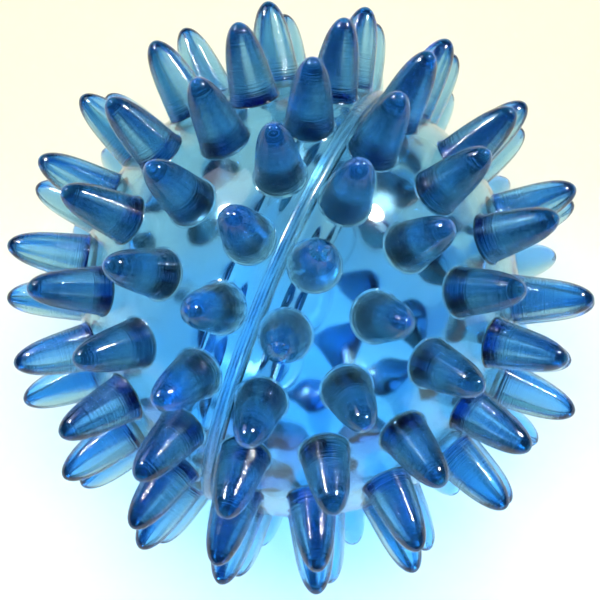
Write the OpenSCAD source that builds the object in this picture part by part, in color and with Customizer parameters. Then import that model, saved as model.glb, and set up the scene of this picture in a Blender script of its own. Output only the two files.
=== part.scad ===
// Hand-size massage ball: a hollow, clear vinyl body in two moulded halves,
// welded together round the middle and covered with solid, bullet-shaped spikes.
// Millimetres. The origin is the ball's centre, and X is the moulding axis: the
// weld lies in the YZ plane. The ball stands on four spikes at its lowest point.

/* [Body] */
// Diameter of the hollow body, without the spikes
body_d = 52; // [40:1:70]
// Thickness of the body's wall
wall_t = 2; // [1:0.1:4]
// Width of the thick land inside the rim of each half
land_w = 2.6; // [1:0.1:5]
// How far the land stands in from the wall
land_t = 0.8; // [0.4:0.1:2]

/* [Weld] */
// Width of the weld between the halves
weld_w = 1.4; // [0.4:0.1:1.6]
// How far the crest of the weld stands proud of the body
weld_proud = 0.25; // [0.1:0.05:0.4]

/* [Spikes] */
// Length of a spike beyond the body
spike_len = 9; // [5:0.5:14]
// Diameter of a spike at its foot
spike_d = 5.6; // [4:0.1:6]
// Share of its diameter that a spike loses to mould draft
spike_draft = 0.36; // [0:0.02:0.5]
// Roundness of the nose: a higher number is blunter
nose_power = 5; // [3:0.5:8]

/* [Rows of spikes in one half, from the weld to the pole] */
// Angle of each row from the plane of the weld
row_lat = [8.5, 27, 46, 66.5]; // [5:0.5:75]
// Number of spikes in each row
row_count = [20, 17, 13, 8]; // [5:1:20]
// Turn of each left row about X, from straight up towards +Y
left_turn = [9, -5, 12, -4.5]; // [-20:0.5:20]
// Turn of each right row about X, from straight up towards +Y
right_turn = [9, 7, 7, 4]; // [-20:0.5:20]

/* [Hidden] */
body_r = body_d / 2;
cavity_r = body_r - wall_t;
land_r = cavity_r - land_t;
half_face = weld_w / 2;
land_end = half_face + land_w;
// Depth by which a spike's blank starts below the body's surface
foot_sink = 0.5;
nose_steps = 10;
crest_steps = 6;
left_side = -1;
right_side = 1;
shell_colour = [0.25, 0.68, 0.75, 0.6];
weld_colour = [0.12, 0.42, 0.62];
spike_colour = [0.05, 0.32, 0.66];

// Radius of a spike at height t, from 0 at its foot to 1 at its tip
function spike_r(t) = spike_d / 2 * (1 - spike_draft * t) * sqrt(1 - pow(t, nose_power));

// Heights that lie closer together towards the tip
function nose_t(i) = sin(90 * i / nose_steps);

spike_outline = concat(
    [[0, -foot_sink], [spike_d / 2, -foot_sink]],
    [for (i = [0 : nose_steps - 1]) [spike_r(nose_t(i)), nose_t(i) * spike_len]],
    [[0, spike_len]]
);

// The crest is a low arc across the width of the weld
weld_outline = concat(
    [[land_r, -half_face]],
    [for (i = [0 : crest_steps])
        let (a = 180 * i / crest_steps)
        [body_r + weld_proud * sin(a), -half_face * cos(a)]],
    [[land_r, half_face]]
);

// Everything on the left of the ball, beyond x from the plane of the weld
module left_block(x) {
    block = body_d + 4;
    translate([-x - block / 2, 0, 0]) cube(block, center = true);
}

// The left half: a thin dome with a thicker land inside its rim
module half_shell() {
    difference() {
        intersection() {
            sphere(r = body_r, $fn = 128);
            left_block(half_face);
        }
        intersection() {
            sphere(r = cavity_r, $fn = 128);
            left_block(land_end);
        }
        rotate([0, 90, 0]) cylinder(r = land_r, h = 2 * land_end, center = true, $fn = 128);
    }
}

module spike_blank() {
    translate([0, 0, body_r]) rotate_extrude($fn = 48) polygon(spike_outline);
}

// One row of separate spikes, each with its foot cut to the body's surface
module spike_row(side, row, turn) {
    count = row_count[row];
    difference() {
        for (k = [0 : count - 1])
            rotate([-turn - k * 360 / count, 0, 0])
                rotate([0, side * row_lat[row], 0])
                    spike_blank();
        sphere(r = body_r, $fn = 128);
    }
}

module pole_spike(side) {
    difference() {
        rotate([0, side * 90, 0]) spike_blank();
        sphere(r = body_r, $fn = 128);
    }
}

module left_half_shell() { color(shell_colour) half_shell(); }
module right_half_shell() { color(shell_colour) mirror([1, 0, 0]) half_shell(); }
module weld_bead() {
    color(weld_colour) rotate([0, 90, 0]) rotate_extrude($fn = 128) polygon(weld_outline);
}
module left_spikes(row) { color(spike_colour) spike_row(left_side, row, left_turn[row]); }
module right_spikes(row) { color(spike_colour) spike_row(right_side, row, right_turn[row]); }
module left_pole_spike() { color(spike_colour) pole_spike(left_side); }
module right_pole_spike() { color(spike_colour) pole_spike(right_side); }

left_half_shell();
right_half_shell();
weld_bead();
left_spikes(0);  // left_spike_row_1
left_spikes(1);  // left_spike_row_2
left_spikes(2);  // left_spike_row_3
left_spikes(3);  // left_spike_row_4
left_pole_spike();
right_spikes(0);  // right_spike_row_1
right_spikes(1);  // right_spike_row_2
right_spikes(2);  // right_spike_row_3
right_spikes(3);  // right_spike_row_4
right_pole_spike();
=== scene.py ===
"""Looks of the massage ball: two clear blue vinyl mouldings and the weld between them.

Lengths are in metres, in the frame of the CAD: the origin is the ball's centre, X is the
moulding axis and +Z is up. Sizes and the direction of each spike are read from the frame.
"""

import math

import bmesh
import bpy
from mathutils import Matrix, Vector, geometry


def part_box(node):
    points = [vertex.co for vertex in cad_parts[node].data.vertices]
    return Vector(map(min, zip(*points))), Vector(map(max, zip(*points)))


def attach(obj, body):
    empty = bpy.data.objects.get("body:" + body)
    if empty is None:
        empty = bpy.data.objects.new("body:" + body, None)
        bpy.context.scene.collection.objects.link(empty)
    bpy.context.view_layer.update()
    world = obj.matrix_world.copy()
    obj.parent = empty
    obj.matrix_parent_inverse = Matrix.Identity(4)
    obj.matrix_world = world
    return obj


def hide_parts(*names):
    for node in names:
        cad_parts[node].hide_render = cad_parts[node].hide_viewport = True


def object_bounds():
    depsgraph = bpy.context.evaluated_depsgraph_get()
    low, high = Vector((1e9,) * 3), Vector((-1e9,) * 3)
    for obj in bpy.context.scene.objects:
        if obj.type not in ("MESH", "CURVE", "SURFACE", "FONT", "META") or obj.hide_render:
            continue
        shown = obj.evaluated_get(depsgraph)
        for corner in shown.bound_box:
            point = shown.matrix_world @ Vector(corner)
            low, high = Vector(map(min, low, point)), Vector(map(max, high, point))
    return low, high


MM = 0.001

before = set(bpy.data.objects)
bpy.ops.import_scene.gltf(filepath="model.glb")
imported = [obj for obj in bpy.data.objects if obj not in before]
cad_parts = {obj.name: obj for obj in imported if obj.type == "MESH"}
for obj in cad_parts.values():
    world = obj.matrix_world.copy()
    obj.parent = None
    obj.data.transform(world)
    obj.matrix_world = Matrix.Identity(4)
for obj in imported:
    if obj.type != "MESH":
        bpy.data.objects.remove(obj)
cad_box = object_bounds()

# ---------------------------------------------------------------- sizes

SIDES = {"left": -1, "right": 1}
ROWS = 4

body_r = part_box("left_half_shell")[1].z
tip_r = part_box("right_pole_spike")[1].x
weld_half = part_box("right_half_shell")[0].x
weld_crest_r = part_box("weld_bead")[1].z
spike_len = tip_r - body_r
foot_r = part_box("right_pole_spike")[1].y

# The same values as in the CAD source
WALL = 2 * MM
LAND_W = 2.6 * MM
LAND_T = 0.8 * MM
DRAFT = 0.36
NOSE_POWER = 5

FOOT_FILLET = 0.26 * MM
# The outer edge of the rim's face, and the corner between that face and the land
RIM_ROUND = 0.08 * MM
RIM_CORNER = 0.15 * MM
# The middle of a round edge lies this share of its radius in from both of its faces
ROUND_MIDDLE = 0.3
# The ramp from the land to the wall starts before the land's end and stops past it
RAMP_BEFORE = 1.6 * MM
RAMP_PAST = 1.0 * MM
SINK_DEPTH = 0.22 * MM
SINK_R = 1.9 * MM
# The mouldings and the weld overlap by this much, so that no film of air shows between them
OVERLAP = 0.02 * MM

# The weld's crest is this share of the CAD's, with ripples along the seam whose spacing drifts
CREST_SHARE = 0.88
RIPPLE_SHARE = 0.1
RIPPLES = 17
RIPPLE_DRIFTS = 5
RIPPLE_DRIFT = 2

# Density of the meshes
SPIKE_SIDES = 48
SPIKE_RINGS = 44
FILLET_RINGS = 5
RAMP_RINGS = 16
WALL_RINGS = 120
RIM_POINTS = 384
WELD_POINTS = 720
WELD_STEPS = 20
SHELL_POINTS = 9000
# Distance of a holding point from its corner, and its largest share of the flat
HOLD = 0.04 * MM
HOLD_SHARE = 0.4
# Room that the body's loose points leave round a spike's foot and along the rim
FOOT_ROOM = 0.45 * MM
RIM_ROOM = 0.3 * MM
# A face whose middle lies within this share of the foot's angle fills the foot, and is left out
FOOT_SHARE = 0.97
# Points of the flat map that lie closer than this are one point
MAP_GAP = 1e-7
# A CAD vertex this close to the largest radius is a tip, and tips this close are one tip
TIP_MARGIN = 0.01 * MM
SAME_TIP = 0.01
# Steps between the numbers that give each spike, and each side, its own turning rings
TAG_STEP = 7.31
TAG_SIDE = 500
# An axis that points more steeply up or down than this takes +Y as its helper, and not +Z
STEEP = 0.9


def spike_axes(node):
    """Unit vectors along the spikes of a CAD node: each spike's tip is its farthest vertex."""
    axes = []
    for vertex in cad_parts[node].data.vertices:
        if vertex.co.length > tip_r - TIP_MARGIN:
            axis = vertex.co.normalized()
            if all((axis - other).length > SAME_TIP for other in axes):
                axes.append(axis)
    return axes


def side_nodes(side):
    rows = [f"{side}_spike_row_{row}" for row in range(1, ROWS + 1)]
    return rows + [f"{side}_pole_spike"]


# ---------------------------------------------------------------- mesh building


class Shape:
    """Points and faces of a mesh under construction, with each point's height along its spike and
    its spike's tag. Points on the body's sphere are noted in round_points.
    """

    def __init__(self):
        self.points = []
        self.faces = []
        self.heights = []
        self.tags = []
        self.round_points = set()

    def add(self, point, height=0.0, tag=0.0):
        self.points.append(tuple(point))
        self.heights.append(height)
        self.tags.append(tag)
        return len(self.points) - 1

    def bridge(self, low, high):
        """Quads between two rings with the same number of points."""
        count = len(low)
        for i in range(count):
            j = (i + 1) % count
            self.faces.append((low[i], low[j], high[j], high[i]))

    def fan(self, ring, apex):
        count = len(ring)
        for i in range(count):
            self.faces.append((ring[i], ring[(i + 1) % count], apex))

    def make(self, name):
        mesh = bpy.data.meshes.new(name)
        mesh.from_pydata(self.points, [], self.faces)
        mesh.validate()
        height = mesh.attributes.new("spike_height", "FLOAT", "POINT")
        height.data.foreach_set("value", self.heights)
        tag = mesh.attributes.new("spike_tag", "FLOAT", "POINT")
        tag.data.foreach_set("value", self.tags)
        mesh.polygons.foreach_set("use_smooth", [True] * len(mesh.polygons))
        face_outwards(mesh)
        self.smooth_round_points(mesh)
        obj = bpy.data.objects.new(name, mesh)
        bpy.context.scene.collection.objects.link(obj)
        return obj

    def smooth_round_points(self, mesh):
        """Shade the points that lie on the body's sphere with the sphere's own normals."""
        normals = [tuple(vertex.normal) for vertex in mesh.vertices]
        for i in self.round_points:
            normals[i] = tuple(Vector(self.points[i]).normalized())
        mesh.normals_split_custom_set_from_vertices(normals)


def face_outwards(mesh):
    bm = bmesh.new()
    bm.from_mesh(mesh)
    bmesh.ops.recalc_face_normals(bm, faces=bm.faces)
    bm.to_mesh(mesh)
    bm.free()


def held(corners):
    """An outline's corners, each with a point close to it on either side that keeps the flats flat."""
    outline = [corners[0]]
    for (x0, r0), (x1, r1) in zip(corners, corners[1:]):
        share = min(HOLD_SHARE, HOLD / math.hypot(x1 - x0, r1 - r0))
        outline.append((x0 + (x1 - x0) * share, r0 + (r1 - r0) * share))
        outline.append((x1 - (x1 - x0) * share, r1 - (r1 - r0) * share))
        outline.append((x1, r1))
    return outline


def frame_about(axis):
    """Two unit vectors across an axis."""
    helper = Vector((0, 0, 1)) if abs(axis.z) < STEEP else Vector((0, 1, 0))
    across = axis.cross(helper).normalized()
    return across, axis.cross(across)


def circle_round(axis, radius, distance, count):
    """Points of a circle round an axis through the origin."""
    across, up = frame_about(axis)
    angles = [2 * math.pi * i / count for i in range(count)]
    return [axis * distance + (across * math.cos(a) + up * math.sin(a)) * radius for a in angles]


def spike_profile():
    """(radius, distance from the centre) from the foot's fillet to just below the tip."""
    start_r = foot_r + FOOT_FILLET
    start_z = math.sqrt(body_r**2 - start_r**2)
    profile = []
    # A quarter circle, from the body's surface round to the spike's side
    for i in range(1, FILLET_RINGS + 1):
        a = math.radians(270 - 90 * i / FILLET_RINGS)
        profile.append((start_r + FOOT_FILLET * math.cos(a), start_z + FOOT_FILLET * (1 + math.sin(a))))
    first_t = (profile[-1][1] - body_r) / spike_len
    for i in range(1, SPIKE_RINGS):
        t = first_t + (1 - first_t) * math.sin(math.pi / 2 * i / SPIKE_RINGS)
        radius = foot_r * (1 - DRAFT * t) * math.sqrt(1 - t**NOSE_POWER)
        profile.append((radius, body_r + t * spike_len))
    return profile


def flatten(point, sign):
    """Stereographic map of one side of the sphere to a disc."""
    p = point / body_r
    return Vector((p.y, p.z)) / (1 + sign * p.x)


def unflatten(flat, sign):
    q = flat.length_squared
    return Vector((sign * (1 - q), 2 * flat.x, 2 * flat.y)) / (1 + q) * body_r


def rim_ring(x, radius):
    angles = [2 * math.pi * i / RIM_POINTS for i in range(RIM_POINTS)]
    return [Vector((x, radius * math.cos(a), radius * math.sin(a))) for a in angles]


def scatter_points(sign, axes, keep_off, rim_x):
    """Evenly spread points of one side of the body, clear of the spikes' feet and the rim."""
    golden = math.pi * (3 - math.sqrt(5))
    points = []
    for i in range(SHELL_POINTS):
        x = 1 - (i + 0.5) / SHELL_POINTS
        across = math.sqrt(1 - x * x)
        p = Vector((sign * x, across * math.cos(golden * i), across * math.sin(golden * i)))
        if abs(p.x) * body_r > rim_x and all(p.dot(axis) < keep_off for axis in axes):
            points.append(p * body_r)
    return points


def outer_skin(shape, sign, axes):
    """The body's outside with its spikes. Returns the ring of points along the rim."""
    start_r = foot_r + FOOT_FILLET
    start_z = math.sqrt(body_r**2 - start_r**2)
    rim_x = weld_half - OVERLAP + RIM_ROUND
    rim = rim_ring(sign * rim_x, math.sqrt(body_r**2 - rim_x**2))
    flat, edges, places = [], [], []

    def loop(points):
        first = len(flat)
        for p in points:
            flat.append(flatten(p, sign))
            places.append(p)
        edges.extend((first + i, first + (i + 1) % len(points)) for i in range(len(points)))
        return list(range(first, len(flat)))

    rim_ids = loop(rim)
    foot_ids = [loop(circle_round(axis, start_r, start_z, SPIKE_SIDES)) for axis in axes]
    margin = math.cos(math.asin((start_r + FOOT_ROOM) / body_r))
    for p in scatter_points(sign, axes, margin, rim_x + RIM_ROOM):
        flat.append(flatten(p, sign))
        places.append(p)

    verts, _, faces, vert_from, _, _ = geometry.delaunay_2d_cdt(flat, edges, [], 0, MAP_GAP)
    ids = {}
    for new, olds in enumerate(vert_from):
        place = places[olds[0]] if olds else unflatten(verts[new], sign)
        ids[new] = shape.add(place)
        shape.round_points.add(ids[new])
    from_old = {old: ids[new] for new, olds in enumerate(vert_from) for old in olds}
    foot_cos = math.cos(math.asin(start_r / body_r) * FOOT_SHARE)
    for face in faces:
        middle = sum((Vector(shape.points[ids[v]]) for v in face), Vector()) / len(face)
        middle.normalize()
        if all(middle.dot(axis) < foot_cos for axis in axes):
            face = [ids[v] for v in face]
            shape.faces.append(tuple(face) if sign > 0 else tuple(reversed(face)))

    profile = spike_profile()
    for number, (axis, foot) in enumerate(zip(axes, foot_ids)):
        tag = (number + 1) * TAG_STEP + (0 if sign > 0 else TAG_SIDE)
        ring = [from_old[i] for i in foot]
        for radius, distance in profile:
            height = (distance - body_r) / spike_len
            points = circle_round(axis, radius, distance, SPIKE_SIDES)
            upper = [shape.add(p, height, tag) for p in points]
            shape.bridge(ring, upper)
            ring = upper
        shape.fan(ring, shape.add(axis * tip_r, 1.0, tag))
    return [from_old[i] for i in rim_ids]


def inner_skin(shape, sign, axes, rim):
    """The rim's face, the land, the ramp and the hollow's wall, with a sink mark behind each spike."""
    cavity_r = body_r - WALL
    land_r = cavity_r - LAND_T
    face_x = weld_half - OVERLAP
    land_x = weld_half + LAND_W
    edge_r = math.sqrt(body_r**2 - (face_x + RIM_ROUND) ** 2)
    ramp_x = land_x - RAMP_BEFORE
    wall_x = land_x + RAMP_PAST
    profile = [(face_x + RIM_ROUND * ROUND_MIDDLE, edge_r - RIM_ROUND * ROUND_MIDDLE)]
    profile += held(
        [
            (face_x, edge_r - RIM_ROUND),
            (face_x, land_r + RIM_CORNER),
            (face_x + RIM_CORNER, land_r),
            (ramp_x, land_r),
        ]
    )
    start = math.asin(wall_x / cavity_r)
    rise = cavity_r * math.cos(start) - land_r
    for i in range(1, RAMP_RINGS):
        t = i / RAMP_RINGS
        lift = rise * (1 - math.cos(math.pi * t)) / 2
        profile.append((ramp_x + (wall_x - ramp_x) * t, land_r + lift))
    for i in range(WALL_RINGS):
        a = start + (math.pi / 2 - start) * i / WALL_RINGS
        profile.append((cavity_r * math.sin(a), cavity_r * math.cos(a)))
    ring = rim
    for x, radius in profile:
        share = min(1, max(0, (x - ramp_x) / (wall_x - ramp_x)))
        inner = [shape.add(sunk(p, axes, share)) for p in rim_ring(sign * x, radius)]
        shape.bridge(ring, inner)
        ring = inner
    shape.fan(ring, shape.add(sunk(Vector((sign * cavity_r, 0, 0)), axes, 1)))


def sunk(point, axes, share):
    """A point of the hollow's wall, pushed outwards behind a spike by a share of the full depth."""
    direction = point.normalized()
    nearest = max(direction.dot(axis) for axis in axes)
    off = math.acos(min(1.0, nearest)) * point.length
    return point + direction * SINK_DEPTH * share * math.exp(-((off / SINK_R) ** 2))


def moulding(side):
    sign = SIDES[side]
    axes = [axis for node in side_nodes(side) for axis in spike_axes(node)]
    shape = Shape()
    rim = outer_skin(shape, sign, axes)
    inner_skin(shape, sign, axes, rim)
    return shape.make(f"{side}_moulding")


def weld():
    """The weld: a low crest with slight ripples outside, a smooth one inside, and flat sides."""
    shape = Shape()
    inner_r = body_r - WALL - LAND_T
    outer_r = body_r - OVERLAP
    crest = weld_crest_r - body_r
    arc = [math.pi * i / WELD_STEPS for i in range(WELD_STEPS + 1)]
    outline = [(-math.cos(a) * weld_half, outer_r, math.sin(a)) for a in arc]
    outline += [(weld_half, outer_r - HOLD, 0), (weld_half, inner_r + HOLD, 0)]
    outline += [(math.cos(a) * weld_half, inner_r, -math.sin(a)) for a in arc]
    outline += [(-weld_half, inner_r + HOLD, 0), (-weld_half, outer_r - HOLD, 0)]
    rings = []
    for x, base, lift in outline:
        ring = []
        for j in range(WELD_POINTS):
            angle = 2 * math.pi * j / WELD_POINTS
            drift = RIPPLE_DRIFT * math.sin(RIPPLE_DRIFTS * angle)
            ripple = math.sin(RIPPLES * angle + drift)
            height = crest * (CREST_SHARE + RIPPLE_SHARE * ripple * (lift > 0))
            radius = base + height * lift
            ring.append(shape.add((x, radius * math.cos(angle), radius * math.sin(angle))))
        rings.append(ring)
    for low, high in zip(rings, rings[1:] + rings[:1]):
        shape.bridge(low, high)
    return shape.make("weld_seam")


# ---------------------------------------------------------------- materials

# Colour of the skin, colour that passes inside, density inside and roughness
VINYL = ((0.86, 0.97, 0.96), (0.02, 0.58, 0.86), 265, 0.06)
WELD = ((0.86, 0.97, 0.96), (0.02, 0.58, 0.86), 265, 0.2)
IOR = 1.53
# Share of the light that each surface lets through to the floor
SHADOW_COLOUR = (0.885, 0.915, 0.925, 1)
# Noise for the surfaces: scale, detail and height
RINGS = (42, 3, 0.11 * MM)
WAVES = (150, 1, 0.25 * MM)
LUMPS = (1500, 1, 0.1 * MM)
NOISE_ROUGHNESS = 0.65
WAVE_STRENGTH = 0.05
LUMP_STRENGTH = 0.2
# The turning rings fade from full strength to none between these shares of a spike's height
FADE_START = 0.2
FADE_END = 0.9


def add_node(tree, kind, **values):
    made = tree.nodes.new(kind)
    for name, value in values.items():
        setattr(made, name, value)
    return made


def see_through(name, skin_colour, absorb_colour, density, roughness):
    """A clear plastic, tinted at its skin and inside. Returns the material and its shader."""
    mat = bpy.data.materials.new(name)
    mat.use_nodes = True
    tree = mat.node_tree
    shader = tree.nodes["Principled BSDF"]
    output = tree.nodes["Material Output"]
    shader.inputs["Base Color"].default_value = (*skin_colour, 1)
    shader.inputs["Transmission Weight"].default_value = 1
    shader.inputs["IOR"].default_value = IOR
    shader.inputs["Roughness"].default_value = roughness
    absorb = add_node(tree, "ShaderNodeVolumeAbsorption")
    absorb.inputs["Color"].default_value = (*absorb_colour, 1)
    absorb.inputs["Density"].default_value = density
    tree.links.new(absorb.outputs["Volume"], output.inputs["Volume"])

    # Light passes on to the floor instead of leaving a solid shadow
    path = add_node(tree, "ShaderNodeLightPath")
    clear = add_node(tree, "ShaderNodeBsdfTransparent")
    clear.inputs["Color"].default_value = SHADOW_COLOUR
    mix = add_node(tree, "ShaderNodeMixShader")
    tree.links.new(path.outputs["Is Shadow Ray"], mix.inputs["Fac"])
    tree.links.new(shader.outputs["BSDF"], mix.inputs[1])
    tree.links.new(clear.outputs["BSDF"], mix.inputs[2])
    tree.links.new(mix.outputs["Shader"], output.inputs["Surface"])
    return mat, shader


def noise_bump(tree, vector, noise_values):
    """A bump of noise over a vector. Returns its node."""
    scale, detail, height = noise_values
    noise = add_node(tree, "ShaderNodeTexNoise")
    noise.inputs["Scale"].default_value = scale
    noise.inputs["Detail"].default_value = detail
    noise.inputs["Roughness"].default_value = NOISE_ROUGHNESS
    tree.links.new(vector, noise.inputs["Vector"])
    bump = add_node(tree, "ShaderNodeBump")
    bump.inputs["Distance"].default_value = height
    tree.links.new(noise.outputs["Fac"], bump.inputs["Height"])
    return bump


def turning_rings(tree):
    """Rings round each spike, which fade towards its nose."""
    height = add_node(tree, "ShaderNodeAttribute", attribute_name="spike_height")
    tag = add_node(tree, "ShaderNodeAttribute", attribute_name="spike_tag")
    along = add_node(tree, "ShaderNodeCombineXYZ")
    tree.links.new(height.outputs["Fac"], along.inputs["X"])
    tree.links.new(tag.outputs["Fac"], along.inputs["Y"])
    fade = add_node(tree, "ShaderNodeMapRange")
    fade.inputs["From Min"].default_value = FADE_START
    fade.inputs["From Max"].default_value = FADE_END
    fade.inputs["To Min"].default_value = 1
    fade.inputs["To Max"].default_value = 0
    tree.links.new(height.outputs["Fac"], fade.inputs["Value"])
    rings = noise_bump(tree, along.outputs["Vector"], RINGS)
    tree.links.new(fade.outputs["Result"], rings.inputs["Strength"])
    return rings


def clear_vinyl():
    """Blue vinyl, with turning rings round the spikes and slow waves all over."""
    mat, shader = see_through("clear_vinyl", *VINYL)
    tree = mat.node_tree
    place = add_node(tree, "ShaderNodeTexCoord")
    waves = noise_bump(tree, place.outputs["Object"], WAVES)
    waves.inputs["Strength"].default_value = WAVE_STRENGTH
    tree.links.new(turning_rings(tree).outputs["Normal"], waves.inputs["Normal"])
    tree.links.new(waves.outputs["Normal"], shader.inputs["Normal"])
    return mat


def weld_vinyl():
    """The same vinyl, rougher and lumpy."""
    mat, shader = see_through("weld_vinyl", *WELD)
    tree = mat.node_tree
    place = add_node(tree, "ShaderNodeTexCoord")
    lumps = noise_bump(tree, place.outputs["Object"], LUMPS)
    lumps.inputs["Strength"].default_value = LUMP_STRENGTH
    tree.links.new(lumps.outputs["Normal"], shader.inputs["Normal"])
    return mat


# ---------------------------------------------------------------- the ball

vinyl = clear_vinyl()
for side in SIDES:
    piece = moulding(side)
    piece.data.materials.append(vinyl)
    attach(piece, "root")
    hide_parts(f"{side}_half_shell", *side_nodes(side))

seam = weld()
seam.data.materials.append(weld_vinyl())
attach(seam, "root")
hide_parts("weld_bead")

# ---------------------------------------------------------------- camera

CAMERA_DISTANCE = 9.56 * body_r
LENS = 125.7
SENSOR = 36
CLIP_START = 0.01
AZIMUTH = math.radians(26.1)
ELEVATION = math.radians(70.9)
ROLL = math.radians(-2.0)
# The camera aims a little below the ball's centre
AIM_DROP = 0.3 * MM

level = Vector((math.cos(AZIMUTH), math.sin(AZIMUTH), 0))
back = Vector((math.sin(AZIMUTH), -math.cos(AZIMUTH), 0)) * math.cos(ELEVATION)
back.z = math.sin(ELEVATION)
right = level * math.cos(ROLL) + back.cross(level) * math.sin(ROLL)
up = back.cross(right)

cam_data = bpy.data.cameras.new("camera")
cam_data.lens = LENS
cam_data.sensor_width = SENSOR
cam_data.clip_start = CLIP_START
camera = bpy.data.objects.new("camera", cam_data)
bpy.context.scene.collection.objects.link(camera)
aim = -up * AIM_DROP
camera.matrix_world = Matrix.Translation(aim + back * CAMERA_DISTANCE) @ Matrix(
    (right, up, back)
).transposed().to_4x4()
bpy.context.scene.camera = camera

# ---------------------------------------------------------------- floor and light

WORLD_STRENGTH = 0.04
FLOOR_SIZE = 4
FLOOR_GAP = 0.1 * MM
FLOOR_COLOUR = (0.82, 0.82, 0.80, 1)
FLOOR_ROUGHNESS = 0.8
WARM = (1.0, 0.95, 0.88)
# Name, direction as right, up and back of the camera, distance, diameter, radiance and colour.
# The overhead light is kept out of reflections and of what shows through the vinyl. The others
# light no diffuse surface.
OVERHEAD = ("overhead", (0, 0.32, 0.94), 0.9, 0.9, 6.6, (1.0, 0.95, 0.69))
LAMPS = (
    ("lamp_left", (-0.56, 0.63, 0.535), 0.6, 0.08, 380, WARM),
    ("lamp_right", (0.56, 0.63, 0.535), 0.6, 0.08, 380, WARM),
    ("window", (-0.56, 0.75, 0.35), 0.6, 0.3, 2.5, WARM),
)


def disc_light(name, direction, distance, size, radiance, colour):
    """A round lamp that faces the ball."""
    data = bpy.data.lights.new(name, "AREA")
    data.shape = "DISK"
    data.size = size
    area = math.pi * (size / 2) ** 2
    data.energy = radiance * math.pi * area
    data.color = colour
    lamp = bpy.data.objects.new(name, data)
    bpy.context.scene.collection.objects.link(lamp)
    towards = (right * direction[0] + up * direction[1] + back * direction[2]).normalized()
    lamp.location = towards * distance
    lamp.rotation_euler = towards.to_track_quat("Z", "Y").to_euler()
    return lamp


def floor_plane():
    floor_z = cad_box[0][2] - FLOOR_GAP
    bpy.ops.mesh.primitive_plane_add(size=FLOOR_SIZE, location=(0, 0, floor_z))
    floor = bpy.context.object
    floor.name = "floor"
    mat = bpy.data.materials.new("pale_floor")
    mat.use_nodes = True
    shader = mat.node_tree.nodes["Principled BSDF"]
    shader.inputs["Base Color"].default_value = FLOOR_COLOUR
    shader.inputs["Roughness"].default_value = FLOOR_ROUGHNESS
    floor.data.materials.append(mat)


def studio():
    world = bpy.data.worlds.new("studio")
    bpy.context.scene.world = world
    world.use_nodes = True
    background = world.node_tree.nodes["Background"]
    background.inputs["Color"].default_value = (1, 1, 1, 1)
    background.inputs["Strength"].default_value = WORLD_STRENGTH
    overhead = disc_light(*OVERHEAD)
    overhead.visible_glossy = False
    overhead.visible_transmission = False
    overhead.visible_camera = False
    for values in LAMPS:
        disc_light(*values).visible_diffuse = False


floor_plane()
studio()

bpy.context.scene.view_settings.view_transform = "Standard"
